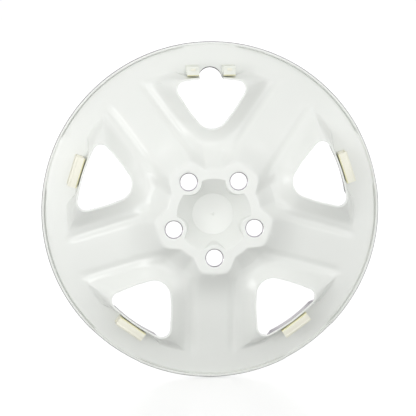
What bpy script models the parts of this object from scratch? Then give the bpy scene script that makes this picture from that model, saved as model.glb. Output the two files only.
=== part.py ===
"""A push-fit cover for a 17 inch five-stud steel wheel: one moulded shell and six nylon clips.

The wheel's axle runs along Y. The show face looks towards -Y and the face that meets the wheel
looks towards +Y, with the valve notch at the top. The origin is on the axle, in the plane of the
hub pad, which bears on the wheel. Heights below are measured from the rim plane towards the wheel,
so the hub pad is PAD_HEIGHT high.
"""

import math

import bmesh
import bpy
from mathutils import Matrix, Vector

# Driving dimensions, in metres and degrees.
OUTER_RADIUS = 0.232
PAD_HEIGHT = 0.060
WALL = 0.0025
SPOKES = 5
HALF_SECTOR = 180.0 / SPOKES
GAP = 0.0003

# Studs, hub pad and hub cup.
STUD_CIRCLE = 0.05715
STUD_HOLE = 0.0116
STUD_BOSS = 0.0177
PAD_WAIST = 0.062
PAD_LOBE = 0.0785
LOBE_EDGE = (11.0, 29.0)
CUP_RADIUS = 0.050
BOSS_WALL = 0.0032
CUP_FLOOR_RADIUS = 0.0290
CUP_FLOOR = 0.0380
DISH_DEPTH = 0.0035

# Windows: corners of the half outline as (across, radial, fillet radius).
WINDOW_CORNERS = (
    (0.0, 0.1850, 0.225),
    (0.0533, 0.1773, 0.0110),
    (0.0294, 0.1391, 0.150),
    (0.0, 0.1025, 0.0225),
)
WINDOW_LIP = 0.0025
LIP_HEIGHT_OUTER = 0.0380
LIP_HEIGHT_INNER = 0.0400
LIP_RADII = (0.1129, 0.1850)

# The foot of the collar round each window, and how much of the collar curves before it runs straight.
FOOT_CORNER = (0.0860, 0.1780)
FOOT_FILLET = 0.0475
FOOT_INNER = 0.0860
FLANGE_FOOT = 0.1880
FOOT_OUTER = 0.1985
FLANGE_EDGE = (10.2, 15.0)
COLLAR_CURVE = 0.45

# Radius and height of the shell's back face along a spoke, from the hub pad to the rim.
SPOKE_PROFILE = (
    (0.0785, 0.0600),
    (0.0840, 0.0550),
    (0.0900, 0.0485),
    (0.0970, 0.0415),
    (0.1040, 0.0358),
    (0.1110, 0.0313),
    (0.1180, 0.0278),
    (0.1250, 0.0252),
    (0.1500, 0.0185),
    (0.1700, 0.0133),
    (0.1900, 0.0083),
    (0.2050, 0.0048),
    (0.2180, 0.0020),
    (0.2280, 0.0),
)
HUB_SLOPE_END = 0.122

# Grooves that run along both edges of each spoke.
GROOVE_DEPTH = 0.0025
SPOKE_FLAT = 0.0190
GROOVE_MIDDLE = 0.0285
GROOVE_END = 0.0360
GROOVE_HUB_FADE = (0.0840, 0.1000)
GROOVE_RIM_FADE = (0.1850, 0.2050)

# The raised lip at the rim, tall along the spokes and low across each window.
SHELL_EDGE = 0.2300
LIP_INNER = 0.2284
LIP_SHOULDER = 0.2308
LIP_TALL = 0.0040
LIP_LOW = 0.0012
LIP_GAP = (9.0, 11.0)

# The valve notch in the top window.
NOTCH_RADIUS = 0.0150
NOTCH_CENTRE = 0.1825

# Clips: a wide one at each plain window, and a small one on each side of the valve notch.
WIDE_CLIP_LENGTH = 0.0420
SMALL_CLIP_LENGTH = 0.0165
SMALL_CLIP_ACROSS = 0.0245
CLIP_FOOT = (0.1883, 0.2004)
CLIP_FOOT_THICKNESS = 0.0022
CLIP_BLADE = (0.1883, 0.1899)
CLIP_WEB_HEIGHT = 0.0296
CLIP_SHOULDER = 0.1870
CLIP_HEAD_INNER = 0.1876
CLIP_SHOULDER_DEPTH = 0.0030
CLIP_HEAD_DEPTH = 0.0036
CLIP_LIMB = (0.1979, 0.1995)
CLIP_LIMB_HEIGHT = 0.0270
CLIP_BARB = (0.2000, 0.0330)
CLIP_TOP_HEIGHT = 0.0385

# Mesh steps along the outer edge, one side and the hub edge of a window.
OUTER_STEPS = 12
SIDE_STEPS = 7
HUB_STEPS = 12

SHELL_WHITE = (0.80, 0.83, 0.79, 1.0)
NYLON_BEIGE = (0.83, 0.80, 0.62, 1.0)


def clear_scene():
    for found in list(bpy.data.objects):
        bpy.data.objects.remove(found, do_unlink=True)


def new_collection(name):
    made = bpy.data.collections.new(name)
    bpy.context.scene.collection.children.link(made)
    return made


def plastic(name, colour, roughness):
    made = bpy.data.materials.new(name)
    made.use_nodes = True
    shader = made.node_tree.nodes["Principled BSDF"]
    shader.inputs["Base Color"].default_value = colour
    shader.inputs["Roughness"].default_value = roughness
    shader.inputs["Metallic"].default_value = 0.0
    return made


def smooth_step(low, high, value):
    """0 below low and 1 above high, with a smooth change between them."""
    share = min(max((value - low) / (high - low), 0.0), 1.0)
    return share * share * (3.0 - 2.0 * share)


def window_angle(index):
    """The direction of a window's centre line, in degrees from +X towards +Z. Window 0 is at the top."""
    return 90.0 + index * 360.0 / SPOKES


def place(index, across, radial, height):
    """A point of one window's sector, in the part's own frame."""
    turn = math.radians(window_angle(index))
    x = radial * math.cos(turn) - across * math.sin(turn)
    z = radial * math.sin(turn) + across * math.cos(turn)
    return Vector((x, height - PAD_HEIGHT, z))


def spoke_height(radius):
    """The spoke profile, as a smooth curve through its points."""
    points = SPOKE_PROFILE
    if radius <= points[0][0]:
        return points[0][1]
    if radius >= points[-1][0]:
        return points[-1][1]
    last = len(points) - 1
    i = max(n for n in range(last) if points[n][0] <= radius)
    (r0, h0), (r1, h1) = points[i], points[i + 1]
    before, after = points[max(i - 1, 0)], points[min(i + 2, last)]
    span = r1 - r0
    slope0 = (h1 - before[1]) / (r1 - before[0])
    slope1 = (after[1] - h0) / (after[0] - r0)
    t = (radius - r0) / span
    start = (1 + 2 * t) * (1 - t) ** 2 * h0 + t * (1 - t) ** 2 * span * slope0
    return start + t * t * (3 - 2 * t) * h1 + t * t * (t - 1) * span * slope1


def groove_drop(across, radial):
    """How far a spoke's groove lowers the back face here."""
    turn = math.radians(HALF_SECTOR)
    radius = math.hypot(across, radial)
    from_spoke = abs(radial * math.sin(turn) - abs(across) * math.cos(turn))
    rising = smooth_step(SPOKE_FLAT, GROOVE_MIDDLE, from_spoke)
    falling = 1.0 - smooth_step(GROOVE_MIDDLE, GROOVE_END, from_spoke)
    fade = smooth_step(*GROOVE_HUB_FADE, radius) * (1.0 - smooth_step(*GROOVE_RIM_FADE, radius))
    return GROOVE_DEPTH * min(rising, falling) * fade


def ground_height(across, radial):
    """The height of the back face where there is no collar. The slope up to the hub pad follows the
    pad's outline."""
    radius = math.hypot(across, radial)
    from_spoke = HALF_SECTOR - math.degrees(math.atan2(abs(across), radial))
    inset = PAD_LOBE - pad_radius(from_spoke)
    share = (HUB_SLOPE_END - radius) / (HUB_SLOPE_END - FOOT_INNER)
    moved = radius + inset * min(max(share, 0.0), 1.0)
    return spoke_height(moved) - groove_drop(across, radial)


def lip_height(radial):
    """The height of a window's edge."""
    inner, outer = LIP_RADII
    share = (radial - inner) / (outer - inner)
    return LIP_HEIGHT_INNER + share * (LIP_HEIGHT_OUTER - LIP_HEIGHT_INNER)


def pad_radius(degrees_from_spoke):
    """The five-lobed outline of the hub pad."""
    lobe = 1.0 - smooth_step(*LOBE_EDGE, abs(degrees_from_spoke))
    return PAD_WAIST + (PAD_LOBE - PAD_WAIST) * lobe


def cup_edge(degrees_from_spoke):
    """The edge of the hub cup, which bends inwards round each stud boss."""
    turn = math.radians(abs(degrees_from_spoke))
    reach = STUD_BOSS**2 - (STUD_CIRCLE * math.sin(turn)) ** 2
    if reach <= 0.0:
        return CUP_RADIUS
    return min(CUP_RADIUS, STUD_CIRCLE * math.cos(turn) - math.sqrt(reach))


def cup_height(radius):
    """The height of the cup's cone, and of the dish in its middle."""
    if radius >= CUP_FLOOR_RADIUS:
        share = (radius - CUP_FLOOR_RADIUS) / (CUP_RADIUS - CUP_FLOOR_RADIUS)
        return CUP_FLOOR + share * (PAD_HEIGHT - CUP_FLOOR)
    return CUP_FLOOR - DISH_DEPTH * (1.0 - (radius / CUP_FLOOR_RADIUS) ** 2)


def rounded_outline(corners, steps):
    """A closed outline with a fillet at each corner, as (point, outward direction) pairs."""
    outline = []
    count = len(corners)
    for i, (across, radial, fillet) in enumerate(corners):
        corner = Vector((across, radial))
        back = (Vector(corners[i - 1][:2]) - corner).normalized()
        ahead = (Vector(corners[(i + 1) % count][:2]) - corner).normalized()
        half = back.angle(ahead) / 2
        middle = corner + (back + ahead).normalized() * fillet / math.sin(half)
        start = corner + back * fillet / math.tan(half) - middle
        end = corner + ahead * fillet / math.tan(half) - middle
        turn = start.angle_signed(end)
        for n in range(steps + 1):
            spin = Matrix.Rotation(-turn * n / steps, 2)
            radius = spin @ start
            outline.append((middle + radius, radius.normalized()))
    return outline


def window_outline(margin, steps=24):
    """The window's outline moved outwards by margin, clockwise from the middle of its outer edge."""
    half = list(WINDOW_CORNERS)
    other = [(-across, radial, fillet) for across, radial, fillet in reversed(half[1:-1])]
    points = [point + away * margin for point, away in rounded_outline(half + other, steps)]
    start = max(range(len(points)), key=lambda n: (points[n].y - abs(points[n].x)))
    return points[start:] + points[:start]


def resample(points, steps):
    """Points at equal distances along an open line."""
    lengths = [0.0]
    for a, b in zip(points, points[1:]):
        lengths.append(lengths[-1] + (b - a).length)
    out = []
    for n in range(steps + 1):
        wanted = lengths[-1] * n / steps
        i = max(k for k in range(len(points) - 1) if lengths[k] <= wanted + 1e-12)
        span = lengths[i + 1] - lengths[i]
        share = 0.0 if span == 0.0 else (wanted - lengths[i]) / span
        out.append(points[i].lerp(points[i + 1], min(share, 1.0)))
    return out


def ring_from_half(outer, side, hub):
    """A whole ring from its half: outer runs from the centre line to the outer corner, side to the
    hub corner, and hub back to the centre line."""
    right = outer[:-1] + side[:-1] + hub
    left = [Vector((-p.x, p.y)) for p in reversed(right[1:-1])]
    return right + left


def split_window(margin):
    """The window's outline as the three stretches of ring_from_half."""
    points = window_outline(margin)
    half = [p for p in points if p.x >= -1e-9]
    half.sort(key=lambda p: -math.atan2(p.y - 0.150, p.x))
    half = [Vector((0.0, half[0].y))] + [p for p in half if p.x > 1e-6] + [Vector((0.0, half[-1].y))]
    corner = max(range(len(half)), key=lambda n: half[n].x * 0.9 + half[n].y * 0.436)
    inner = min(range(len(half)), key=lambda n: (half[n] - Vector((0.0145, 0.1215))).length)
    return half[: corner + 1], half[corner : inner + 1], half[inner:]


def window_ring(margin):
    outer, side, hub = split_window(margin)
    return ring_from_half(
        resample(outer, OUTER_STEPS // 2), resample(side, SIDE_STEPS), resample(hub, HUB_STEPS // 2)
    )


def foot_ring():
    """The foot of the collar: out to the flange, along the spoke's groove and round the tip."""
    corner = Vector(FOOT_CORNER)
    reach = math.degrees(math.atan2(corner.x, corner.y))
    outer = []
    for n in range(25):
        degrees = reach * n / 24
        radius = FLANGE_FOOT + (FOOT_OUTER - FLANGE_FOOT) * smooth_step(*FLANGE_EDGE, degrees)
        outer.append(radius * Vector((math.sin(math.radians(degrees)), math.cos(math.radians(degrees)))))
    middle = Vector((0.0, FOOT_INNER + FOOT_FILLET))
    away = corner - middle
    lean = math.acos(FOOT_FILLET / away.length) - math.atan2(away.y, away.x)
    tangent = -math.degrees(lean)
    arc = []
    for n in range(25):
        turn = math.radians(tangent + (-90.0 - tangent) * n / 24)
        arc.append(middle + FOOT_FILLET * Vector((math.cos(turn), math.sin(turn))))
    cut = min(range(len(arc)), key=lambda n: abs(arc[n].x - 0.034))
    side = [outer[-1]] + arc[: cut + 1]
    return ring_from_half(
        resample(outer, OUTER_STEPS // 2),
        resample(side, SIDE_STEPS),
        resample(arc[cut:], HUB_STEPS // 2),
    )


def sector_ring():
    """The edge of the sector: the rim, the middle of the spoke and the edge of the hub pad."""

    def at(degrees, radius):
        return radius * Vector((math.sin(math.radians(degrees)), math.cos(math.radians(degrees))))

    outer_steps, hub_steps = OUTER_STEPS // 2, HUB_STEPS // 2
    outer = [at(HALF_SECTOR * n / outer_steps, SHELL_EDGE) for n in range(outer_steps + 1)]
    hub = []
    for n in range(hub_steps + 1):
        degrees = HALF_SECTOR * (1 - n / hub_steps)
        hub.append(at(degrees, pad_radius(HALF_SECTOR - degrees)))
    side = resample([outer[-1], hub[0]], SIDE_STEPS)
    return ring_from_half(outer, side, hub)


def collar_rise(share):
    """The collar's height as a share of the whole, from 0 at its foot to 1 at the window."""
    if share < COLLAR_CURVE:
        return share**2 / (2 * COLLAR_CURVE) / (1 - COLLAR_CURVE / 2)
    return (share - COLLAR_CURVE / 2) / (1 - COLLAR_CURVE / 2)


def spread(inner, outer, share):
    return [a.lerp(b, share) for a, b in zip(inner, outer)]


def sector_rings():
    """The rings of one sector, from the window's lip to the sector's edge, as lists of (point, height)."""
    lip, foot, edge = window_ring(WINDOW_LIP), foot_ring(), sector_ring()
    rings = []
    for share in (0.0, 0.35, 0.7, 1.0):
        ring = spread(lip, foot, share)
        heights = []
        for point, top in zip(ring, lip):
            ground = ground_height(point.x, point.y)
            heights.append(ground + (lip_height(top.y) - ground) * collar_rise(1.0 - share))
        rings.append(list(zip(ring, heights)))
    for share in (0.14, 0.40, 0.70, 1.0):
        ring = spread(foot, edge, share)
        rings.append([(p, ground_height(p.x, p.y)) for p in ring])
    return rings


def bridge(mesh, first, second):
    """Quads between two closed loops of vertices."""
    count = len(first)
    for n in range(count):
        after = (n + 1) % count
        corners = [first[n], first[after], second[after], second[n]]
        distinct = [c for i, c in enumerate(corners) if c not in corners[:i]]
        if len(distinct) > 2:
            mesh.faces.new(distinct)


def polar_ring(mesh, radius_of, height_of, steps, first_angle=90.0):
    """A closed ring of vertices about the axle. radius_of takes the degrees from the nearest spoke."""
    ring = []
    for n in range(steps):
        degrees = first_angle + 360.0 * n / steps
        sector = (degrees - 90.0 + HALF_SECTOR) % (2 * HALF_SECTOR) - HALF_SECTOR
        from_spoke = HALF_SECTOR - abs(sector)
        radius = radius_of(from_spoke)
        turn = math.radians(degrees)
        height = height_of(radius, abs(sector))
        ring.append(
            mesh.verts.new((radius * math.cos(turn), height - PAD_HEIGHT, radius * math.sin(turn)))
        )
    return ring


def add_sectors(mesh):
    rings = sector_rings()
    for index in range(SPOKES):
        made = [[mesh.verts.new(place(index, p.x, p.y, h)) for p, h in ring] for ring in rings]
        for first, second in zip(made, made[1:]):
            bridge(mesh, second, first)


def add_hub(mesh):
    """The pad, its cup and the dish, from the edge of the pad to the axle."""
    steps = SPOKES * HUB_STEPS
    flat = lambda radius, sector: PAD_HEIGHT
    rings = [
        polar_ring(mesh, pad_radius, flat, steps),
        polar_ring(mesh, cup_edge, flat, steps),
        polar_ring(
            mesh,
            lambda from_spoke: cup_edge(from_spoke) - BOSS_WALL,
            lambda radius, sector: cup_height(radius),
            steps,
        ),
        polar_ring(mesh, lambda _: CUP_FLOOR_RADIUS, lambda radius, sector: cup_height(radius), steps),
        polar_ring(mesh, lambda _: 0.0145, lambda radius, sector: cup_height(radius), steps),
    ]
    for first, second in zip(rings, rings[1:]):
        bridge(mesh, first, second)
    centre = mesh.verts.new((0.0, cup_height(0.0) - PAD_HEIGHT, 0.0))
    last = rings[-1]
    for n in range(steps):
        mesh.faces.new((last[n], last[(n + 1) % steps], centre))


def make_lip(collection, material):
    """The raised lip round the rim, as a closed ring."""
    mesh = bmesh.new()
    steps = SPOKES * OUTER_STEPS * 2

    def lip(radius, sector):
        return LIP_LOW + (LIP_TALL - LIP_LOW) * smooth_step(*LIP_GAP, sector)

    rings = [
        polar_ring(mesh, lambda _: OUTER_RADIUS, lambda r, s: -WALL / 2, steps),
        polar_ring(mesh, lambda _: OUTER_RADIUS, lambda r, s: lip(r, s) - 0.0008, steps),
        polar_ring(mesh, lambda _: LIP_SHOULDER, lip, steps),
        polar_ring(mesh, lambda _: LIP_INNER, lip, steps),
        polar_ring(mesh, lambda _: LIP_INNER, lambda r, s: -WALL / 2, steps),
        polar_ring(mesh, lambda _: LIP_SHOULDER, lambda r, s: -WALL - 0.0003, steps),
    ]
    for first, second in zip(rings, rings[1:] + rings[:1]):
        bridge(mesh, first, second)
    bmesh.ops.recalc_face_normals(mesh, faces=mesh.faces)
    lip_ring = finish_mesh(mesh, "rim_lip", material, collection)
    lip_ring.hide_render = True
    lip_ring.display_type = "WIRE"
    return lip_ring


def finish_mesh(mesh, name, material, collection):
    data = bpy.data.meshes.new(name)
    mesh.to_mesh(data)
    mesh.free()
    data.materials.append(material)
    made = bpy.data.objects.new(name, data)
    collection.objects.link(made)
    return made


def drill(target, cutters, name, across, radial, index, radius):
    """Cuts a round hole along the axle's direction through target."""
    mesh = bmesh.new()
    bmesh.ops.create_cone(
        mesh, cap_ends=True, segments=32, radius1=radius, radius2=radius, depth=0.080
    )
    mesh.transform(Matrix.Rotation(math.radians(90.0), 4, "X"))
    data = bpy.data.meshes.new(name)
    mesh.to_mesh(data)
    mesh.free()
    cutter = bpy.data.objects.new(name, data)
    cutter.location = place(index, across, radial, PAD_HEIGHT / 2)
    cutter.hide_render = True
    cutter.display_type = "WIRE"
    cutters.objects.link(cutter)
    cut = target.modifiers.new(name, "BOOLEAN")
    cut.operation = "DIFFERENCE"
    cut.object = cutter


def make_shell(collection, cutters, material):
    mesh = bmesh.new()
    add_sectors(mesh)
    add_hub(mesh)
    bmesh.ops.remove_doubles(mesh, verts=mesh.verts, dist=0.00005)
    bmesh.ops.recalc_face_normals(mesh, faces=mesh.faces)
    if sum(face.normal.y * face.calc_area() for face in mesh.faces) < 0.0:
        bmesh.ops.reverse_faces(mesh, faces=mesh.faces)
    shell = finish_mesh(mesh, "cover_shell", material, collection)
    thick = shell.modifiers.new("wall", "SOLIDIFY")
    thick.thickness = WALL
    thick.offset = -1.0
    thick.use_even_offset = True
    thick.thickness_clamp = 0.0
    rim = shell.modifiers.new("rim_lip", "BOOLEAN")
    rim.operation = "UNION"
    rim.object = make_lip(cutters, material)
    turn = math.radians(HALF_SECTOR)
    for index in range(SPOKES):
        across, radial = STUD_CIRCLE * math.sin(turn), STUD_CIRCLE * math.cos(turn)
        drill(shell, cutters, f"stud_hole_{index + 1}", across, radial, index, STUD_HOLE)
    drill(shell, cutters, "valve_notch", 0.0, NOTCH_CENTRE, 0, NOTCH_RADIUS)
    shell.data.shade_smooth()
    shell.data.set_sharp_from_angle(angle=math.radians(35.0))
    return shell


def clip_piece(name, profile, index, across, length, collection, material, pivot):
    """A clip moulding: a profile of (radial, height) points extruded along the window's edge, with
    its origin on the line where the clip bends."""
    mesh = bmesh.new()
    ends = []
    for side in (-0.5, 0.5):
        end = [mesh.verts.new(place(index, across + side * length, v, h)) for v, h in profile]
        ends.append(end)
    mesh.faces.new(ends[0])
    mesh.faces.new(list(reversed(ends[1])))
    bridge(mesh, ends[1], ends[0])
    bmesh.ops.recalc_face_normals(mesh, faces=mesh.faces)
    origin = place(index, across, *pivot)
    bmesh.ops.translate(mesh, verts=mesh.verts, vec=-origin)
    made = finish_mesh(mesh, name, material, collection)
    made.location = origin
    return made


def make_clip(kind, number, index, across, length, collection, material):
    """A clip is one moulding. It is split here at its thin bending web, into the foot that stays in
    the shell and the hook that flexes: a tall blade with a limb hanging from its head, whose barb
    grips the wheel."""
    inner, outer = CLIP_FOOT
    low, high = spoke_height(outer) + GAP, spoke_height(inner) + GAP
    near, far = CLIP_BLADE
    limb_inner, limb_outer = CLIP_LIMB
    web = CLIP_WEB_HEIGHT
    foot = (
        (inner, high),
        (outer, low),
        (outer, low + CLIP_FOOT_THICKNESS),
        (far + 0.0006, high + CLIP_FOOT_THICKNESS),
        (far, web - GAP / 2),
        (CLIP_SHOULDER, web - GAP / 2),
        (CLIP_SHOULDER, web - CLIP_SHOULDER_DEPTH),
        (near, web - CLIP_SHOULDER_DEPTH - GAP),
    )
    hook = (
        (near, web + GAP / 2),
        (far, web + GAP / 2),
        (far, CLIP_TOP_HEIGHT - CLIP_HEAD_DEPTH),
        (limb_inner, CLIP_TOP_HEIGHT - CLIP_HEAD_DEPTH),
        (limb_inner, CLIP_LIMB_HEIGHT),
        (limb_outer, CLIP_LIMB_HEIGHT),
        CLIP_BARB,
        (limb_outer, CLIP_TOP_HEIGHT - CLIP_HEAD_DEPTH / 3),
        (far, CLIP_TOP_HEIGHT),
        (CLIP_HEAD_INNER, CLIP_TOP_HEIGHT),
        (CLIP_HEAD_INNER, CLIP_TOP_HEIGHT - CLIP_HEAD_DEPTH / 2),
        (near, CLIP_TOP_HEIGHT - CLIP_HEAD_DEPTH),
    )
    pivot = ((near + far) / 2, web)
    clip_piece(f"{kind}_foot_{number}", foot, index, across, length, collection, material, pivot)
    clip_piece(f"{kind}_hook_{number}", hook, index, across, length, collection, material, pivot)


def main():
    clear_scene()
    parts = new_collection("wheel_cover")
    cutters = new_collection("cutters")
    white = plastic("shell_white", SHELL_WHITE, 0.35)
    nylon = plastic("clip_nylon", NYLON_BEIGE, 0.45)
    make_shell(parts, cutters, white)
    for index in range(1, SPOKES):
        make_clip("window_clip", index, index, 0.0, WIDE_CLIP_LENGTH, parts, nylon)
    for number, across in ((1, -SMALL_CLIP_ACROSS), (2, SMALL_CLIP_ACROSS)):
        make_clip("valve_clip", number, 0, across, SMALL_CLIP_LENGTH, parts, nylon)


main()
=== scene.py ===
"""The look of the push-fit wheel cover: its moulded shell and its six nylon clips, seen from the back.

Heights are measured from the rim plane towards the wheel, as in the CAD, and lengths are in metres.
"""

import math

import bmesh
import bpy
import numpy as np
from mathutils import Matrix, Quaternion, Vector


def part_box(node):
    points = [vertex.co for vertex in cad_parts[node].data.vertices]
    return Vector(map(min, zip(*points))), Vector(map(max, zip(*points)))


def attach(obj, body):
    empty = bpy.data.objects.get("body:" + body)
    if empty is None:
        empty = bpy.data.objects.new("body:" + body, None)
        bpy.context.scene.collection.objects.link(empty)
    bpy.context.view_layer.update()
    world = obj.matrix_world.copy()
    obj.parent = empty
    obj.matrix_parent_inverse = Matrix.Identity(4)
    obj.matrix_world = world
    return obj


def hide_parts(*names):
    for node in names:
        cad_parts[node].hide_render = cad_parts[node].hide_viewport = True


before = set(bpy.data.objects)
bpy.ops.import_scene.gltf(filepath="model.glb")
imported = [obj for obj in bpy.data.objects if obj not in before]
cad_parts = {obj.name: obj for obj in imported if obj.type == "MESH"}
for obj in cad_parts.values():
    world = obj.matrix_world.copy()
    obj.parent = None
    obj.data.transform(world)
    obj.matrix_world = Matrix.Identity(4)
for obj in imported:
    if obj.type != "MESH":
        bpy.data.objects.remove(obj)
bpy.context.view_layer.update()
shell_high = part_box("cover_shell")[1]

# The main sizes. The outer radius comes from the frame.
OUTER_RADIUS = shell_high.z
PAD_HEIGHT = 0.060
WALL = 0.0025
SPOKES = 5
HALF_SECTOR = 180.0 / SPOKES

# Studs, hub pad and hub cup.
STUD_CIRCLE = 0.05715
STUD_BOSS = 0.0177
BOSS_SLOPE = 3.9
PAD_WAIST = 0.062
PAD_LOBE = 0.0785
LOBE_EDGE = (11.0, 29.0)
CUP_RADIUS = 0.050
CUP_FLOOR_RADIUS = 0.0290
CUP_FLOOR = 0.0380
CUP_ROUNDING = 0.0016
DISH_RADIUS = 0.0282
DISH_EDGE = 0.0368
DISH_MIDDLE = 0.0340
NUB_HEIGHT = 0.0007
NUB_EDGE = (0.0012, 0.0026)
CONE_BLEND = 0.0020

# The turned shapes cut out of the shell, as (radius, height). The studs' heights start at the pad.
STUD_HOLE = ((0.0126, 0.002), (0.0126, 0.0001), (0.0120, -0.0004), (0.0111, -0.0022), (0.0111, -0.014))
NOTCH_CENTRE = 0.1825
NOTCH_HOLE = ((0.0158, 0.060), (0.0158, 0.0066), (0.0143, 0.0044), (0.0143, -0.010))

# Windows: corners of the half outline as (across, radial, fillet radius).
WINDOW_CORNERS = (
    (0.0, 0.1850, 0.225),
    (0.0533, 0.1773, 0.0110),
    (0.0294, 0.1391, 0.150),
    (0.0, 0.1025, 0.0225),
)
WINDOW_MIDDLE = 0.150
WINDOW_HUB_EDGE = (0.0145, 0.1215)
OUTER_CORNER_WAY = (0.9, 0.436)
WINDOW_LIP = 0.0025
LIP_HEIGHT_OUTER = 0.0380
LIP_HEIGHT_INNER = 0.0400
LIP_RADII = (0.1129, 0.1850)
# The rounded lip as (margin from the opening, rise), and how deep the plated edge starts below it.
LIP_ROUNDING = ((0.0023, 0.00020), (0.0020, 0.00035), (0.0006, 0.00035), (0.00020, 0.00025), (0.0, -0.0001))
EDGE_DEPTH = 0.0005
EDGE_DEPTH_MORE = 0.0019

# The foot of the collar round each window.
FOOT_CORNER = (0.0860, 0.1780)
FOOT_FILLET = 0.0475
FOOT_INNER = 0.0860
FOOT_HUB_ACROSS = 0.034
FLANGE_FOOT = 0.1880
FOOT_OUTER = 0.1985
FLANGE_EDGE = (10.2, 15.0)
COLLAR_CURVE = 0.45

# Radius and height of the shell's back face along a spoke, from the hub pad to the rim.
SPOKE_PROFILE = (
    (0.0785, 0.0600),
    (0.0840, 0.0550),
    (0.0900, 0.0485),
    (0.0970, 0.0415),
    (0.1040, 0.0358),
    (0.1110, 0.0313),
    (0.1180, 0.0278),
    (0.1250, 0.0252),
    (0.1500, 0.0185),
    (0.1700, 0.0133),
    (0.1900, 0.0083),
    (0.2050, 0.0048),
    (0.2180, 0.0020),
    (0.2280, 0.0),
)
HUB_SLOPE_END = 0.122

# Grooves that run along both edges of each spoke.
GROOVE_DEPTH = 0.0025
SPOKE_FLAT = 0.0190
GROOVE_MIDDLE = 0.0285
GROOVE_END = 0.0360
GROOVE_HUB_FADE = (0.0840, 0.1000)
GROOVE_RIM_FADE = (0.1850, 0.2050)

# The raised lip at the rim: tall along the spokes and low across each window.
RIM_START = 0.2258
LIP_TALL = 0.0040
LIP_LOW = 0.0012
LIP_GAP = (9.4, 10.4)
RIM_FLAT = 0.2275

# Clips. The overhang is how far a head reaches past the CAD's, towards the window.
GAP = 0.0003
WIDE_CLIP_LENGTH = 0.0420
SMALL_CLIP_LENGTH = 0.0165
SMALL_CLIP_ACROSS = 0.0245
HEAD_OVERHANG = 0.0011
NIB_LENGTH = 0.0063
NIB_PROFILE = (
    (0.1935, -0.0020),
    (0.1968, -0.0022),
    (0.1968, -0.0004),
    (0.1962, 0.0002),
    (0.1935, 0.0003),
)
CLIP_FOOT = (0.1883, 0.2004)
PLATE = 0.0016
BEAD = 0.0012
BEAD_WIDTH = 0.0011
BEAD_FOOT = 0.0016
BEAD_FOOT_RISE = 0.0001
POST_FOOT = 0.0007
CLIP_BLADE = (0.1883, 0.1899)
CLIP_WEB_HEIGHT = 0.0296
CLIP_SHOULDER = 0.1870
CLIP_HEAD_INNER = 0.1876
CLIP_SHOULDER_DEPTH = 0.0030
CLIP_HEAD_DEPTH = 0.0036
CLIP_LIMB = (0.1979, 0.1995)
CLIP_LIMB_HEIGHT = 0.0270
CLIP_BARB = (0.1999, 0.0330)
CLIP_TOP_HEIGHT = 0.0385
HOOK_SHORTER = 0.0002
FOOT_ROUNDING = 0.00022
HOOK_ROUNDING = 0.00018
NIB_ROUNDING = 0.0003

# Colours, each as a lighter and a darker tone.
ABS_LIGHT = (0.822, 0.838, 0.806)
ABS_DARK = (0.800, 0.817, 0.786)
CHROME_LIGHT = (0.60, 0.58, 0.61)
CHROME_DARK = (0.52, 0.50, 0.54)
# The plated edges' chrome, darkened in colour: painted shade and painted dark reflection on steep walls,
# window walls, the rim's edge and the notch.
SHADE_PAINTED_CHROME_LIGHT = (0.30, 0.285, 0.31)
SHADE_PAINTED_CHROME_DARK = (0.24, 0.225, 0.25)
BEIGE = ((0.86, 0.85, 0.74), (0.84, 0.825, 0.70))
# Yellow-green tone for the clips' faces by the gap: painted shade of the deep gap, lit yellow through the
# nylon.
OLIVE_GAP_SHADE = ((0.78, 0.75, 0.42), (0.73, 0.70, 0.37))
PALE = ((0.81, 0.83, 0.765), (0.79, 0.81, 0.74))
FLOOR_GREY = (0.50, 0.50, 0.50)
FLOOR_ROUGHNESS = 0.26

# Material slots: the shell's bare back, plated front and plated edges, whose darker chrome is painted shade
# and reflection, and the clips' faces by the gap, whose yellow-green tone is painted gap shade.
BACK, FRONT, EDGE = 0, 1, 2
# The clips' slot for the faces by the gap, which carry painted gap shade.
GAP_SHADE = 1
STEEP = 0.35
SHELL_SHARP = 40.0
CLIP_SHARP = 50.0

# The light: an even white room, soft lamps as (name, direction, watts), and the floor's own glow.
ROOM_LIGHT = 0.835
BACKDROP_LIGHT = 1.10
BACKDROP_SEEN = 1.02
BACKDROP_FROM = -0.3
BACKDROP_TO = -0.8
LAMP_SIZE = 1.2
LAMP_DISTANCE = 2.2
LAMPS = (
    ("key", (0.643, 0.766, 0.0), 13.1),
    ("front", (0.0, 1.0, 0.0), 6.8),
    ("fill", (-0.643, 0.766, 0.0), 5.7),
    ("side", (0.940, 0.342, 0.0), 2.4),
    ("far_side", (-0.940, 0.342, 0.0), 1.0),
)
OVERHEAD_LAMPS = (
    ("overhead_left", (0.51, 0.53, 0.68), 1.3),
    ("overhead_right", (-0.62, 0.455, 0.64), 1.3),
)
OVERHEAD_SIZE = 0.5
FLOOR_GLOW = 0.456
FLOOR_DROP = 0.0005

# The camera: where it aims, from which direction and how far, its roll and the width it sees.
CAMERA_AIM = (0.0038, -PAD_HEIGHT, 0.0036)
CAMERA_WAY = (0.0714, 0.990, 0.120)
CAMERA_DISTANCE = 2.5
CAMERA_ROLL = -0.56
SENSOR_WIDTH = 36.0
VIEW_WIDTH = 0.572

# Mesh steps along the outer edge, one side and the hub edge of a window.
OUTER_STEPS = 48
SIDE_STEPS = 24
HUB_STEPS = 48
FILLET_STEPS = 60
FOOT_STEPS = 80
HOLE_STEPS = 96
MERGE = 0.00002

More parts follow.
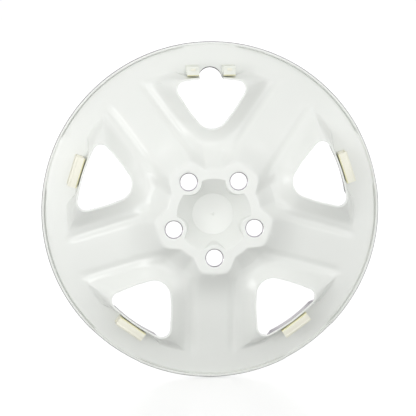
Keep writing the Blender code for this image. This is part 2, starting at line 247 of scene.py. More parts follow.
# Where the rings of the mesh lie, as shares of the way or as distances in metres.
COLLAR_SHARES = (0.0, 0.03, 0.07, 0.12, 0.18, 0.25, 0.33, 0.42, 0.51, 0.60, 0.69, 0.78, 0.86, 0.93, 1.0)
GROUND_SHARES = (0.04, 0.08, 0.12, 0.16, 0.20, 0.24, 0.29, 0.34, 0.40, 0.48, 0.58, 0.70, 0.82, 0.92, 1.0)
PAD_SHARES = (0.08, 0.2, 0.4, 0.65)
BEFORE_CUP_EDGE = (0.004, 0.0025, 0.0015, 0.0008, 0.0003)
PAST_CUP_EDGE = (0.0, 0.0003, 0.0007, 0.0012, 0.0018, 0.0025, 0.0034, 0.0045, 0.006)
CONE_END = 0.0300
CONE_SHARES = (0.2, 0.4, 0.6, 0.8, 1.0)
DISH_RIM_RADII = (0.0294, 0.0290, 0.0287, 0.0284, 0.0281, 0.0276, 0.0265)
DISH_RADII = (0.023, 0.019, 0.014, 0.009, 0.005, 0.003, 0.0022, 0.0016, 0.0010)


# ---------------------------------------------------------------- shapes in plan


def smooth_step(low, high, value):
    """0 below low and 1 above high, with a smooth change between them."""
    share = np.clip((value - low) / (high - low), 0.0, 1.0)
    return share * share * (3.0 - 2.0 * share)


def smooth_min(a, b, reach):
    """The lower of two heights, with a rounded change over where they are within reach."""
    share = np.clip(0.5 + 0.5 * (b - a) / reach, 0.0, 1.0)
    return b + (a - b) * share - reach * share * (1.0 - share)


def smooth_max(a, b, reach):
    """The higher of two heights, rounded in the same way."""
    return -smooth_min(-a, -b, reach)


def polar(degrees, radius):
    """Points of (across, radial) at these angles from a window's centre line."""
    turn = np.radians(degrees)
    return np.stack([radius * np.sin(turn), radius * np.cos(turn)], axis=-1)


def rounded_outline(corners, steps):
    """A closed outline with a fillet at each corner, as points and outward directions."""
    points, away = [], []
    for i, (across, radial, fillet) in enumerate(corners):
        corner = Vector((across, radial))
        back = (Vector(corners[i - 1][:2]) - corner).normalized()
        ahead = (Vector(corners[(i + 1) % len(corners)][:2]) - corner).normalized()
        half = back.angle(ahead) / 2
        middle = corner + (back + ahead).normalized() * fillet / math.sin(half)
        start = corner + back * fillet / math.tan(half) - middle
        end = corner + ahead * fillet / math.tan(half) - middle
        turn = start.angle_signed(end)
        for n in range(steps + 1):
            radius = Matrix.Rotation(-turn * n / steps, 2) @ start
            points.append(middle + radius)
            away.append(radius.normalized())
    return np.array(points), np.array(away)


def resample(points, steps):
    """Points at equal distances along an open line."""
    points = np.asarray(points)
    lengths = np.concatenate([[0.0], np.cumsum(np.linalg.norm(np.diff(points, axis=0), axis=1))])
    wanted = np.linspace(0.0, lengths[-1], steps + 1)
    return np.stack([np.interp(wanted, lengths, points[:, k]) for k in (0, 1)], axis=-1)


def ring_from_half(outer, side, hub):
    """A whole ring from its half: outer runs from the centre line to the outer corner, side to the
    hub corner, and hub back to the centre line."""
    right = np.concatenate([outer[:-1], side[:-1], hub])
    left = right[-2:0:-1] * (-1.0, 1.0)
    return np.concatenate([right, left])


def window_rings():
    """The window's outline, and its outward directions, at the ring's steps."""
    half = list(WINDOW_CORNERS)
    other = [(-across, radial, fillet) for across, radial, fillet in reversed(half[1:-1])]
    points, away = rounded_outline(half + other, FILLET_STEPS)
    right = points[:, 0] > 1e-6
    points, away = points[right], away[right]
    order = np.argsort(-np.arctan2(points[:, 1] - WINDOW_MIDDLE, points[:, 0]))
    points, away = points[order], away[order]
    points = np.concatenate([[(0.0, points[0][1])], points, [(0.0, points[-1][1])]])
    away = np.concatenate([[(0.0, 1.0)], away, [(0.0, -1.0)]])
    corner = int(np.argmax(points @ OUTER_CORNER_WAY))
    inner = int(np.argmin(np.linalg.norm(points - WINDOW_HUB_EDGE, axis=1)))
    spans = (
        (0, corner, OUTER_STEPS // 2),
        (corner, inner, SIDE_STEPS),
        (inner, len(points) - 1, HUB_STEPS // 2),
    )
    outline, direction = [], []
    for first, last, steps in spans:
        part = points[first : last + 1]
        lengths = np.concatenate([[0.0], np.cumsum(np.linalg.norm(np.diff(part, axis=0), axis=1))])
        wanted = np.linspace(0.0, lengths[-1], steps + 1)
        outline.append(np.stack([np.interp(wanted, lengths, part[:, k]) for k in (0, 1)], axis=-1))
        turned = away[first : last + 1]
        direction.append(np.stack([np.interp(wanted, lengths, turned[:, k]) for k in (0, 1)], axis=-1))
    outline, direction = ring_from_half(*outline), ring_from_half(*direction)
    return outline, direction / np.linalg.norm(direction, axis=1, keepdims=True)


def foot_ring():
    """The foot of the collar: out to the flange, along the spoke's groove and round the tip."""
    corner = np.array(FOOT_CORNER)
    reach = math.degrees(math.atan2(corner[0], corner[1]))
    degrees = np.linspace(0.0, reach, FOOT_STEPS)
    outer = polar(degrees, FLANGE_FOOT + (FOOT_OUTER - FLANGE_FOOT) * smooth_step(*FLANGE_EDGE, degrees))
    middle = np.array((0.0, FOOT_INNER + FOOT_FILLET))
    away = corner - middle
    lean = math.acos(FOOT_FILLET / np.linalg.norm(away)) - math.atan2(away[1], away[0])
    turn = np.linspace(-lean, -math.pi / 2, FOOT_STEPS)
    arc = middle + FOOT_FILLET * np.stack([np.cos(turn), np.sin(turn)], axis=-1)
    cut = int(np.argmin(np.abs(arc[:, 0] - FOOT_HUB_ACROSS)))
    side = np.concatenate([outer[-1:], arc[: cut + 1]])
    hub = arc[cut:]
    return ring_from_half(
        resample(outer, OUTER_STEPS // 2), resample(side, SIDE_STEPS), resample(hub, HUB_STEPS // 2)
    )


def sector_ring():
    """The edge of the sector: the rim, the middle of the spoke and the edge of the hub pad."""
    outer = polar(np.linspace(0.0, HALF_SECTOR, OUTER_STEPS // 2 + 1), RIM_START)
    degrees = np.linspace(HALF_SECTOR, 0.0, HUB_STEPS // 2 + 1)
    hub = polar(degrees, pad_radius(HALF_SECTOR - degrees))
    side = resample([outer[-1], hub[0]], SIDE_STEPS)
    return ring_from_half(outer, side, hub)


# ---------------------------------------------------------------- heights


def spoke_height(radius):
    """The spoke profile, as a smooth curve through its points."""
    points = np.array(SPOKE_PROFILE)
    slopes = np.gradient(points[:, 1], points[:, 0])
    slopes[0] = 0.0
    radius = np.clip(radius, points[0, 0], None)
    i = np.clip(np.searchsorted(points[:, 0], radius, side="right") - 1, 0, len(points) - 2)
    span = points[i + 1, 0] - points[i, 0]
    t = np.clip((radius - points[i, 0]) / span, 0.0, 1.0)
    height = (1 + 2 * t) * (1 - t) ** 2 * points[i, 1] + t * (1 - t) ** 2 * span * slopes[i]
    height += t * t * (3 - 2 * t) * points[i + 1, 1] + t * t * (t - 1) * span * slopes[i + 1]
    return height


def pad_radius(degrees_from_spoke):
    """The five-lobed outline of the hub pad."""
    lobe = 1.0 - smooth_step(*LOBE_EDGE, np.abs(degrees_from_spoke))
    return PAD_WAIST + (PAD_LOBE - PAD_WAIST) * lobe


def groove_drop(across, radial):
    """How far a spoke's groove lowers the back face here."""
    turn = math.radians(HALF_SECTOR)
    radius = np.hypot(across, radial)
    from_spoke = np.abs(radial * math.sin(turn) - np.abs(across) * math.cos(turn))
    rising = smooth_step(SPOKE_FLAT, GROOVE_MIDDLE, from_spoke)
    falling = 1.0 - smooth_step(GROOVE_MIDDLE, GROOVE_END, from_spoke)
    fade = smooth_step(*GROOVE_HUB_FADE, radius) * (1.0 - smooth_step(*GROOVE_RIM_FADE, radius))
    return GROOVE_DEPTH * np.minimum(rising, falling) * fade


def ground_height(points):
    """The height of the back face where there is no collar. The slope up to the hub pad follows the
    pad's outline."""
    across, radial = points[..., 0], points[..., 1]
    radius = np.hypot(across, radial)
    from_spoke = HALF_SECTOR - np.degrees(np.arctan2(np.abs(across), radial))
    inset = PAD_LOBE - pad_radius(from_spoke)
    share = np.clip((HUB_SLOPE_END - radius) / (HUB_SLOPE_END - FOOT_INNER), 0.0, 1.0)
    return spoke_height(radius + inset * share) - groove_drop(across, radial)


def lip_height(radial):
    """The height of a window's edge."""
    inner, outer = LIP_RADII
    return LIP_HEIGHT_INNER + (radial - inner) / (outer - inner) * (LIP_HEIGHT_OUTER - LIP_HEIGHT_INNER)


def collar_rise(share):
    """The collar's height as a share of the whole, from 0 at its foot to 1 at the window."""
    curved = share**2 / (2 * COLLAR_CURVE)
    return np.where(share < COLLAR_CURVE, curved, share - COLLAR_CURVE / 2) / (1 - COLLAR_CURVE / 2)


def cup_edge(degrees_from_spoke):
    """The edge of the hub cup, which bends inwards round each stud boss."""
    turn = np.radians(np.abs(degrees_from_spoke))
    reach = STUD_BOSS**2 - (STUD_CIRCLE * np.sin(turn)) ** 2
    boss = STUD_CIRCLE * np.cos(turn) - np.sqrt(np.clip(reach, 0.0, None))
    return np.where(reach > 0.0, np.minimum(CUP_RADIUS, boss), CUP_RADIUS)


def hub_height(radius, edge):
    """The hub's back face, from the flat pad down the cup's wall and cone into the dish."""
    share = (radius - CUP_FLOOR_RADIUS) / (CUP_RADIUS - CUP_FLOOR_RADIUS)
    cone = CUP_FLOOR + share * (PAD_HEIGHT - CUP_FLOOR)
    wall = PAD_HEIGHT - BOSS_SLOPE * (edge - radius)
    height = smooth_min(PAD_HEIGHT, smooth_max(cone, wall, CONE_BLEND), CUP_ROUNDING)
    dish = DISH_MIDDLE + (DISH_EDGE - DISH_MIDDLE) * (radius / DISH_RADIUS) ** 2
    nub = NUB_HEIGHT * (1.0 - smooth_step(*NUB_EDGE, radius))
    into = smooth_step(DISH_RADIUS, CUP_FLOOR_RADIUS, radius)
    return np.where(radius < CUP_FLOOR_RADIUS, dish + nub + (CUP_FLOOR - DISH_EDGE) * into, height)


# ---------------------------------------------------------------- the shell's mesh


def place(index, across, radial, height):
    """A point of one window's sector, in the frame."""
    turn = math.radians(90.0 + index * 360.0 / SPOKES)
    x = radial * math.cos(turn) - across * math.sin(turn)
    z = radial * math.sin(turn) + across * math.cos(turn)
    return Vector((x, height - PAD_HEIGHT, z))


def sector_rings(outline, direction):
    """The back face of one sector: rings of (across, radial, height) from the window's lip outwards."""
    lip = outline + direction * WINDOW_LIP
    foot, edge = foot_ring(), sector_ring()
    top = lip_height(lip[:, 1])
    rings = []
    for share in COLLAR_SHARES:
        ring = lip + (foot - lip) * share
        ground = ground_height(ring)
        height = ground + (top - ground) * collar_rise(np.array(1.0 - share))
        rings.append(np.column_stack([ring, height]))
    for share in GROUND_SHARES:
        ring = foot + (edge - foot) * share
        rings.append(np.column_stack([ring, ground_height(ring)]))
    return rings


def bridge(mesh, first, second, slot=BACK):
    """Quads between two closed loops of vertices."""
    for n in range(len(first)):
        after = (n + 1) % len(first)
        face = mesh.faces.new((first[n], first[after], second[after], second[n]))
        face.material_index = slot
        face.smooth = True


def hub_rings():
    """The hub's rings of (degrees, radius, height), from the edge of the pad to the axle."""
    degrees = 90.0 + np.arange(SPOKES * HUB_STEPS) * 360.0 / (SPOKES * HUB_STEPS)
    sector = (degrees - 90.0 + HALF_SECTOR) % (2 * HALF_SECTOR) - HALF_SECTOR
    from_spoke = HALF_SECTOR - np.abs(sector)
    edge, pad = cup_edge(from_spoke), pad_radius(from_spoke)
    radii = [pad]
    radii += [pad + (edge + BEFORE_CUP_EDGE[0] - pad) * share for share in PAD_SHARES]
    radii += [edge + step for step in BEFORE_CUP_EDGE]
    radii += [edge - step for step in PAST_CUP_EDGE]
    last = radii[-1]
    radii += [last + (CONE_END - last) * share for share in CONE_SHARES]
    radii += [np.full_like(edge, radius) for radius in DISH_RIM_RADII + DISH_RADII]
    return [np.column_stack([degrees, radius, hub_height(radius, edge)]) for radius in radii]


def polar_points(ring):
    """The points of a ring of (degrees, radius, height), in the frame."""
    turn = np.radians(ring[:, 0])
    return np.column_stack([ring[:, 1] * np.cos(turn), ring[:, 2] - PAD_HEIGHT, ring[:, 1] * np.sin(turn)])


def make_back_face(mesh, rings):
    """Adds the whole back face, and returns each window's loop of vertices."""
    windows = []
    for index in range(SPOKES):
        made = [[mesh.verts.new(place(index, *point)) for point in ring] for ring in rings]
        windows.append(made[0])
        for first, second in zip(made, made[1:]):
            bridge(mesh, second, first)
    hub = [[mesh.verts.new(point) for point in polar_points(ring)] for ring in hub_rings()]
    for first, second in zip(hub, hub[1:]):
        bridge(mesh, first, second)
    centre = mesh.verts.new((0.0, DISH_MIDDLE + NUB_HEIGHT - PAD_HEIGHT, 0.0))
    for n, vert in enumerate(hub[-1]):
        face = mesh.faces.new((vert, hub[-1][(n + 1) % len(hub[-1])], centre))
        face.smooth = True
    bmesh.ops.remove_doubles(mesh, verts=mesh.verts, dist=MERGE)
    bmesh.ops.recalc_face_normals(mesh, faces=mesh.faces)
    if sum(face.normal.y * face.calc_area() for face in mesh.faces) < 0.0:
        bmesh.ops.reverse_faces(mesh, faces=mesh.faces)
    mesh.normal_update()
    return windows


def make_front_face(mesh):
    """Adds the show face, one wall thickness in front of the back face, and returns which vertex lies
    in front of which."""
    faces = list(mesh.faces)
    verts = list(mesh.verts)
    front = {vert: mesh.verts.new(vert.co - vert.normal * WALL) for vert in verts}
    for face in faces:
        made = mesh.faces.new([front[vert] for vert in reversed(face.verts)])
        # Steep front faces take the darker chrome: painted shade and painted reflection, chosen by how far
        # a face turns from the axle.
        made.material_index = EDGE if abs(face.normal.y) < STEEP else FRONT
        made.smooth = True
    return front


def close_window(mesh, index, loop, front, outline, direction):
    """The flat lip round a window, and the wall through it."""
    top = lip_height((outline + direction * WINDOW_LIP)[:, 1])
    lean = np.array([vert.normal.y for vert in loop])
    depth = EDGE_DEPTH + EDGE_DEPTH_MORE * np.clip(lean, 0.0, 1.0)
    previous = loop
    for margin, rise in LIP_ROUNDING:
        ring = outline + direction * margin
        made = [mesh.verts.new(place(index, p[0], p[1], h + rise)) for p, h in zip(ring, top)]
        bridge(mesh, made, previous)
        previous = made
    wall = [front[vert] for vert in loop]
    for vert, p, h, d in zip(wall, outline, top, depth):
        vert.co = place(index, p[0], p[1], h - d)
    # The window's wall takes the darker chrome: painted shade and reflection.
    bridge(mesh, wall, previous, EDGE)


def rim_lip(sector):
    """The height of the rim's lip."""
    return LIP_LOW + (LIP_TALL - LIP_LOW) * smooth_step(*LIP_GAP, np.abs(sector))


def close_rim(mesh, front):
    """The lip round the rim, the narrow groove inside it and the rolled front edge, as a profile of
    (radius, height, slot) from the back face to the front face."""
    edges = [edge for edge in mesh.edges if edge.is_boundary and edge.verts[0].co.xz.length > 0.2]
    back = {vert for edge in edges for vert in edge.verts if vert in front}
    order = sorted(back, key=lambda vert: math.atan2(vert.co.z, vert.co.x))
    degrees = np.array([math.degrees(math.atan2(vert.co.z, vert.co.x)) for vert in order])
    sector = (degrees - 90.0 + HALF_SECTOR) % (2 * HALF_SECTOR) - HALF_SECTOR
    tall = smooth_step(*LIP_GAP, np.abs(sector))
    lip = rim_lip(sector)
    flat = spoke_height(np.array(RIM_FLAT))
    level = 0 * lip
    profile = (
        (0.2268, flat + level, BACK),
        (0.2271, flat - 0.0012 * tall, BACK),
        (0.2275, flat - 0.0016 * tall, BACK),
        (0.2283, flat - 0.0016 * tall, BACK),
        (0.2285, lip * 0.5, BACK),
        (0.22855, lip - 0.0004, BACK),
        (0.2289, lip, BACK),
        (0.2306, lip, BACK),
        (0.2312, lip - 0.00015, BACK),
        # The rim's outer edge takes the darker chrome: painted shade and reflection.
        (0.2315, lip - 0.0006, EDGE),
        (0.2320, lip - 0.0012, EDGE),
        (0.2320, level - 0.0006, FRONT),
        (0.2318, level - 0.0014, FRONT),
        (0.2313, level - 0.0021, FRONT),
        (0.2303, level - 0.0025, FRONT),
        (0.2285, level - 0.00255, FRONT),
    )
    previous = order
    for radius, height, slot in profile:
        ring = np.column_stack([degrees, 0 * degrees + radius, height])
        made = [mesh.verts.new(point) for point in polar_points(ring)]
        bridge(mesh, previous, made, slot)
        previous = made
    bridge(mesh, previous, [front[vert] for vert in order], FRONT)


def hole_cutter(name, centre, profile, material):
    """A turned cutter along the axle's direction, as (radius, height) pairs."""
    mesh = bmesh.new()
    rings = []
    for radius, height in profile:
        ring = []
        for n in range(HOLE_STEPS):
            turn = 2 * math.pi * n / HOLE_STEPS
            across, up = radius * math.cos(turn), radius * math.sin(turn)
            ring.append(mesh.verts.new(centre + Vector((across, height - PAD_HEIGHT, up))))
        rings.append(ring)
    for first, second in zip(rings, rings[1:]):
        bridge(mesh, first, second)
    mesh.faces.new(rings[0])
    mesh.faces.new(list(reversed(rings[-1])))
    bmesh.ops.recalc_face_normals(mesh, faces=mesh.faces)
    data = bpy.data.meshes.new(name)
    mesh.to_mesh(data)
    mesh.free()
    data.materials.append(material)
    return bpy.data.objects.new(name, data)


def cut_holes(shell, stud_material, notch_material):
    """Cuts the stud holes and the valve notch through the shell."""
    stud = tuple((radius, PAD_HEIGHT + rise) for radius, rise in STUD_HOLE)
    cutters = []
    for index in range(SPOKES):
        turn = math.radians(90.0 + HALF_SECTOR + index * 2 * HALF_SECTOR)
        centre = Vector((STUD_CIRCLE * math.cos(turn), 0.0, STUD_CIRCLE * math.sin(turn)))
        cutters.append(hole_cutter(f"stud_cutter_{index}", centre, stud, stud_material))
    notch_centre = Vector((0.0, 0.0, NOTCH_CENTRE))
    # The notch's wall takes the darker chrome: painted shade and reflection.
    cutters.append(hole_cutter("notch_cutter", notch_centre, NOTCH_HOLE, notch_material))
    scene = bpy.context.scene
    for cutter in cutters:
        scene.collection.objects.link(cutter)
        cut = shell.modifiers.new(cutter.name, "BOOLEAN")
        cut.operation = "DIFFERENCE"
        cut.solver = "EXACT"
        cut.material_mode = "TRANSFER"
        cut.object = cutter
    bake_modifiers(shell)
    for cutter in cutters:
        bpy.data.objects.remove(cutter, do_unlink=True)


def bake_modifiers(target):
    """Replaces an object's mesh with its modified one."""
    depsgraph = bpy.context.evaluated_depsgraph_get()
    data = bpy.data.meshes.new_from_object(target.evaluated_get(depsgraph))
    data.name = target.name
    target.modifiers.clear()
    target.data = data


def make_shell(back_material, front_material, shade_painted_chrome_material):
    """The whole moulding, as one closed skin with its materials in the order of the slots."""
    outline, direction = window_rings()
    mesh = bmesh.new()
    windows = make_back_face(mesh, sector_rings(outline, direction))
    front = make_front_face(mesh)
    for index, loop in enumerate(windows):
        close_window(mesh, index, loop, front, outline, direction)
    close_rim(mesh, front)
    data = bpy.data.meshes.new("shell_skin")
    mesh.to_mesh(data)
    mesh.free()
    data.materials.append(back_material)
    data.materials.append(front_material)
    data.materials.append(shade_painted_chrome_material)
    shell = bpy.data.objects.new("shell_skin", data)
    bpy.context.scene.collection.objects.link(shell)
    cut_holes(shell, front_material, shade_painted_chrome_material)
    shell.data.shade_smooth()
    shell.data.set_sharp_from_angle(angle=math.radians(SHELL_SHARP))
    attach(shell, "cover")
    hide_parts("cover_shell")


# ---------------------------------------------------------------- materials


def principled(name, colour, roughness, metallic=0.0):
    material = bpy.data.materials.new(name)
    material.use_nodes = True
    shader = material.node_tree.nodes["Principled BSDF"]
    shader.inputs["Base Color"].default_value = (*colour, 1.0)
    shader.inputs["Roughness"].default_value = roughness
    shader.inputs["Metallic"].default_value = metallic
    return material, shader


def vary(material, shader, colours, roughness, scale, bump_scale, bump_depth):
    """Soft uneven colour and gloss over the surface, and a fine grain in relief."""
    nodes, links = material.node_tree.nodes, material.node_tree.links
    where = nodes.new("ShaderNodeTexCoord")
    cloud = nodes.new("ShaderNodeTexNoise")
    cloud.inputs["Scale"].default_value = scale
    cloud.inputs["Detail"].default_value = 3.0
    links.new(where.outputs["Object"], cloud.inputs["Vector"])
    tint = nodes.new("ShaderNodeMix")
    tint.data_type = "RGBA"
    tint.inputs["A"].default_value = (*colours[0], 1.0)
    tint.inputs["B"].default_value = (*colours[1], 1.0)
    links.new(cloud.outputs["Fac"], tint.inputs["Factor"])
    links.new(tint.outputs["Result"], shader.inputs["Base Color"])
    gloss = nodes.new("ShaderNodeMapRange")
    gloss.inputs["To Min"].default_value = roughness[0]
    gloss.inputs["To Max"].default_value = roughness[1]
    links.new(cloud.outputs["Fac"], gloss.inputs["Value"])
    links.new(gloss.outputs["Result"], shader.inputs["Roughness"])
    grain = nodes.new("ShaderNodeTexNoise")
    grain.inputs["Scale"].default_value = bump_scale
    links.new(where.outputs["Object"], grain.inputs["Vector"])
    relief = nodes.new("ShaderNodeBump")
    relief.inputs["Strength"].default_value = 1.0
    relief.inputs["Distance"].default_value = bump_depth
    links.new(grain.outputs["Fac"], relief.inputs["Height"])
    links.new(relief.outputs["Normal"], shader.inputs["Normal"])


def moulded_white():
    """Bare ABS: off-white with a faint cool green tint, satin."""
    material, shader = principled("moulded_white", ABS_LIGHT, 0.30)
    vary(
        material,
        shader,
        colours=(ABS_LIGHT, ABS_DARK),
        roughness=(0.18, 0.26),
        scale=14.0,
        bump_scale=600.0,
        bump_depth=0.000008,
    )
    return material


def bright_plating():
    """The chrome of the show face."""
    material, shader = principled("bright_plating", CHROME_LIGHT, 0.08, 1.0)
    vary(
        material,
        shader,
        colours=(CHROME_LIGHT, CHROME_DARK),
        roughness=(0.05, 0.12),
        scale=20.0,
        bump_scale=90.0,
        bump_depth=0.000004,
    )
    return material


def shade_painted_plating():
    """Chrome darkened in colour on the steep walls and edges: painted shade and painted dark reflection."""
    material, shader = principled("shade_painted_plating", SHADE_PAINTED_CHROME_LIGHT, 0.22, 1.0)
    vary(
        material,
        shader,
        colours=(SHADE_PAINTED_CHROME_LIGHT, SHADE_PAINTED_CHROME_DARK),
        roughness=(0.18, 0.28),
        scale=60.0,
        bump_scale=500.0,
        bump_depth=0.000004,
    )
    return material


def nylon(name, light, dark):
    """Natural nylon, satin and slightly cloudy."""
    material, shader = principled(name, light, 0.40)
    vary(
        material,
        shader,
        colours=(light, dark),
        roughness=(0.34, 0.46),
        scale=90.0,
        bump_scale=900.0,
        bump_depth=0.000010,
    )
    return material


# ---------------------------------------------------------------- clips


def profile_solid(name, index, across, length, profile, materials, slots, rounding):
    """A profile of (radial, height) points extruded along a window's edge, with rounded edges. slots
    says which material each side of the profile has."""
    mesh = bmesh.new()
    ends = []
    for side in (-0.5, 0.5):
        ends.append([mesh.verts.new(place(index, across + side * length, v, h)) for v, h in profile])
    mesh.faces.new(ends[0])
    mesh.faces.new(list(reversed(ends[1])))
    for n in range(len(profile)):
        after = (n + 1) % len(profile)
        side = mesh.faces.new((ends[1][n], ends[1][after], ends[0][after], ends[0][n]))
        side.material_index = slots.get(n, 0)
    bmesh.ops.recalc_face_normals(mesh, faces=mesh.faces)
    bmesh.ops.bevel(mesh, geom=mesh.edges, offset=rounding, segments=3, affect="EDGES", profile=0.5)
    data = bpy.data.meshes.new(name)
    mesh.to_mesh(data)
    mesh.free()
    for material in materials:
        data.materials.append(material)
    made = bpy.data.objects.new(name, data)
    bpy.context.scene.collection.objects.link(made)
    made.data.shade_smooth()
    made.data.set_sharp_from_angle(angle=math.radians(CLIP_SHARP))
    return made


def finish_piece(piece, body, node):
    """Ties a clip's piece to its body and to the CAD node whose look it gives."""
    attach(piece, body)
    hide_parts(node)


def clip_foot(kind, number, index, across, length, materials):
    """The fixed part of a clip: a plate on the shell with a bead along its outer edge, and a post with
    a shoulder that reaches up to the web."""
    inner, outer = CLIP_FOOT
    near, far = CLIP_BLADE
    low = float(spoke_height(np.array(outer))) + GAP
    high = float(spoke_height(np.array(inner))) + GAP
    profile = (
        (near, high),
        (outer, low),
        (outer, low + PLATE + BEAD),
        (outer - BEAD_WIDTH, low + PLATE + BEAD),
        (outer - BEAD_FOOT, low + PLATE + BEAD_FOOT_RISE),
        (far + POST_FOOT, high + PLATE),
        (far, CLIP_WEB_HEIGHT - GAP / 2),
        (CLIP_SHOULDER, CLIP_WEB_HEIGHT - GAP / 2),
        (CLIP_SHOULDER, CLIP_WEB_HEIGHT - CLIP_SHOULDER_DEPTH),
        (near, CLIP_WEB_HEIGHT - CLIP_SHOULDER_DEPTH - GAP),
    )
    name = f"{kind}_foot_{number}"
    # The post's shoulder faces by the window take the yellow-green tone: painted shade of the gap.
    slots = {6: GAP_SHADE, 7: GAP_SHADE, 8: GAP_SHADE}
    piece = profile_solid(f"{name}_skin", index, across, length, profile, materials, slots, FOOT_ROUNDING)
    finish_piece(piece, "cover", name)


def clip_hook(kind, number, index, across, length, materials):
    """The bending part of a clip: a blade, and a limb with a barb that hangs from its head."""
    near, far = CLIP_BLADE
    inner, outer = CLIP_LIMB
    name = f"{kind}_hook_{number}"
    under = CLIP_TOP_HEIGHT - CLIP_HEAD_DEPTH
    head = CLIP_HEAD_INNER - HEAD_OVERHANG
    profile = (
        (near, CLIP_WEB_HEIGHT + GAP / 2),
        (far, CLIP_WEB_HEIGHT + GAP / 2),
        (far, under),
        (inner, under),
        (inner, CLIP_LIMB_HEIGHT),
        (outer, CLIP_LIMB_HEIGHT),
        CLIP_BARB,
        (outer - 0.0002, under + 0.0014),
        # From here on the crowned head, from its outer end to its edge by the window.
        (outer - 0.0024, CLIP_TOP_HEIGHT - 0.0009),
        (inner - 0.0022, CLIP_TOP_HEIGHT - 0.0012),
        (far + 0.0024, CLIP_TOP_HEIGHT - 0.0004),
        (head + 0.0018, CLIP_TOP_HEIGHT),
        (head + 0.0010, CLIP_TOP_HEIGHT - 0.0003),
        (head, CLIP_TOP_HEIGHT - 0.0012),
        (head, CLIP_TOP_HEIGHT - CLIP_HEAD_DEPTH / 2),
        (near, CLIP_TOP_HEIGHT - CLIP_HEAD_DEPTH),
    )
    # The head's faces by the window take the yellow-green tone: painted shade of the gap.
    slots = {11: GAP_SHADE, 12: GAP_SHADE, 13: GAP_SHADE, 14: GAP_SHADE, 15: GAP_SHADE}
    piece = profile_solid(f"{name}_skin", index, across, length, profile, materials, slots, HOOK_ROUNDING)
    finish_piece(piece, name, name)


def clip_nib(number, across, material):
    """The raised nib on the head of a small clip."""
    profile = tuple((v, CLIP_TOP_HEIGHT + rise) for v, rise in NIB_PROFILE)
    name = f"valve_clip_nib_{number}"
    piece = profile_solid(name, 0, across, NIB_LENGTH, profile, (material,), {}, NIB_ROUNDING)
    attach(piece, f"valve_clip_hook_{number}")


def make_clips():
    beige = nylon("nylon_beige", *BEIGE)
    # A yellow-green nylon for the faces by the gap: painted gap shade.
    olive_gap_shade = nylon("nylon_painted_gap_shade", *OLIVE_GAP_SHADE)
    pale = nylon("nylon_pale", *PALE)
    for index in range(1, SPOKES):
        clip_foot("window_clip", index, index, 0.0, WIDE_CLIP_LENGTH, (beige, olive_gap_shade))
        clip_hook("window_clip", index, index, 0.0, WIDE_CLIP_LENGTH - HOOK_SHORTER, (beige, olive_gap_shade))
    for number, across in ((1, -SMALL_CLIP_ACROSS), (2, SMALL_CLIP_ACROSS)):
        clip_foot("valve_clip", number, 0, across, SMALL_CLIP_LENGTH, (pale, olive_gap_shade))
        clip_hook("valve_clip", number, 0, across, SMALL_CLIP_LENGTH - HOOK_SHORTER, (pale, olive_gap_shade))
        clip_nib(number, across, beige)


# ---------------------------------------------------------------- stage


def make_world():
    """A white backdrop for the camera, and for all other rays an evenly lit white room whose
    backdrop, behind the cover, is brighter."""
    world = bpy.data.worlds.new("studio")
    bpy.context.scene.world = world
    world.use_nodes = True
    nodes, links = world.node_tree.nodes, world.node_tree.links
    room = nodes["Background"]
    direction = nodes.new("ShaderNodeTexCoord")
    axes = nodes.new("ShaderNodeSeparateXYZ")
    behind = nodes.new("ShaderNodeMapRange")
    behind.inputs["From Min"].default_value = BACKDROP_FROM
    behind.inputs["From Max"].default_value = BACKDROP_TO
    behind.inputs["To Min"].default_value = ROOM_LIGHT
    behind.inputs["To Max"].default_value = BACKDROP_LIGHT
    links.new(direction.outputs["Generated"], axes.inputs[0])
    links.new(axes.outputs["Y"], behind.inputs["Value"])
    links.new(behind.outputs["Result"], room.inputs["Strength"])
    backdrop = nodes.new("ShaderNodeBackground")
    backdrop.inputs["Strength"].default_value = BACKDROP_SEEN
    path = nodes.new("ShaderNodeLightPath")
    mix = nodes.new("ShaderNodeMixShader")
    links.new(path.outputs["Is Camera Ray"], mix.inputs[0])
    links.new(room.outputs[0], mix.inputs[1])
    links.new(backdrop.outputs[0], mix.inputs[2])
    links.new(mix.outputs[0], nodes["World Output"].inputs["Surface"])
    for node in (room, backdrop):
        node.inputs["Color"].default_value = (1.0, 1.0, 1.0, 1.0)


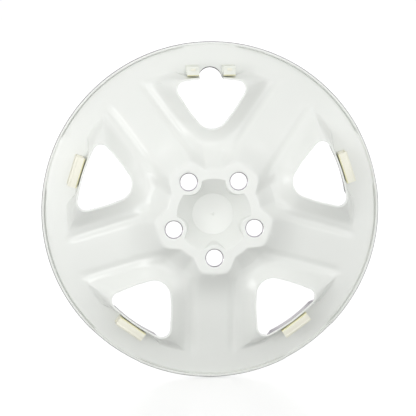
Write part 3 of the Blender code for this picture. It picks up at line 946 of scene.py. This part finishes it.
def make_floor():
    """A pale floor under the rim, as bright as the backdrop, with a faint shadow at the contact."""
    mesh = bmesh.new()
    bmesh.ops.create_grid(mesh, x_segments=1, y_segments=1, size=30.0)
    data = bpy.data.meshes.new("floor")
    mesh.to_mesh(data)
    mesh.free()
    floor = bpy.data.objects.new("floor", data)
    floor.location.z = -OUTER_RADIUS - FLOOR_DROP
    material, shader = principled("pale_floor", FLOOR_GREY, FLOOR_ROUGHNESS)
    nodes, links = material.node_tree.nodes, material.node_tree.links
    path = nodes.new("ShaderNodeLightPath")
    glow = nodes.new("ShaderNodeMath")
    glow.operation = "MULTIPLY"
    glow.inputs[1].default_value = FLOOR_GLOW
    shader.inputs["Emission Color"].default_value = (1.0, 1.0, 1.0, 1.0)
    links.new(path.outputs["Is Camera Ray"], glow.inputs[0])
    links.new(glow.outputs[0], shader.inputs["Emission Strength"])
    data.materials.append(material)
    bpy.context.scene.collection.objects.link(floor)


def make_lamp(name, towards, power, size):
    """A soft round lamp aimed at the axle."""
    light = bpy.data.lights.new(name, "AREA")
    light.shape = "DISK"
    light.size = size
    light.energy = power
    lamp = bpy.data.objects.new(name, light)
    lamp.location = Vector(towards) * LAMP_DISTANCE
    lamp.rotation_mode = "QUATERNION"
    lamp.rotation_quaternion = Vector(towards).to_track_quat("Z", "Y")
    bpy.context.scene.collection.objects.link(lamp)


def make_stage():
    bpy.context.scene.view_settings.view_transform = "Standard"
    make_world()
    make_floor()
    for name, towards, power in LAMPS:
        make_lamp(name, towards, power, LAMP_SIZE)
    for name, towards, power in OVERHEAD_LAMPS:
        make_lamp(name, towards, power, OVERHEAD_SIZE)


def make_camera():
    scene = bpy.context.scene
    data = bpy.data.cameras.new("camera")
    camera = bpy.data.objects.new("camera", data)
    scene.collection.objects.link(camera)
    scene.camera = camera
    away = Vector(CAMERA_WAY).normalized()
    data.sensor_width = SENSOR_WIDTH
    data.lens = SENSOR_WIDTH * CAMERA_DISTANCE / VIEW_WIDTH
    camera.location = Vector(CAMERA_AIM) + away * CAMERA_DISTANCE
    camera.rotation_mode = "QUATERNION"
    roll = Quaternion(away, math.radians(CAMERA_ROLL))
    camera.rotation_quaternion = roll @ away.to_track_quat("Z", "Y")


def main():
    make_shell(moulded_white(), bright_plating(), shade_painted_plating())
    make_clips()
    make_stage()
    make_camera()


main()
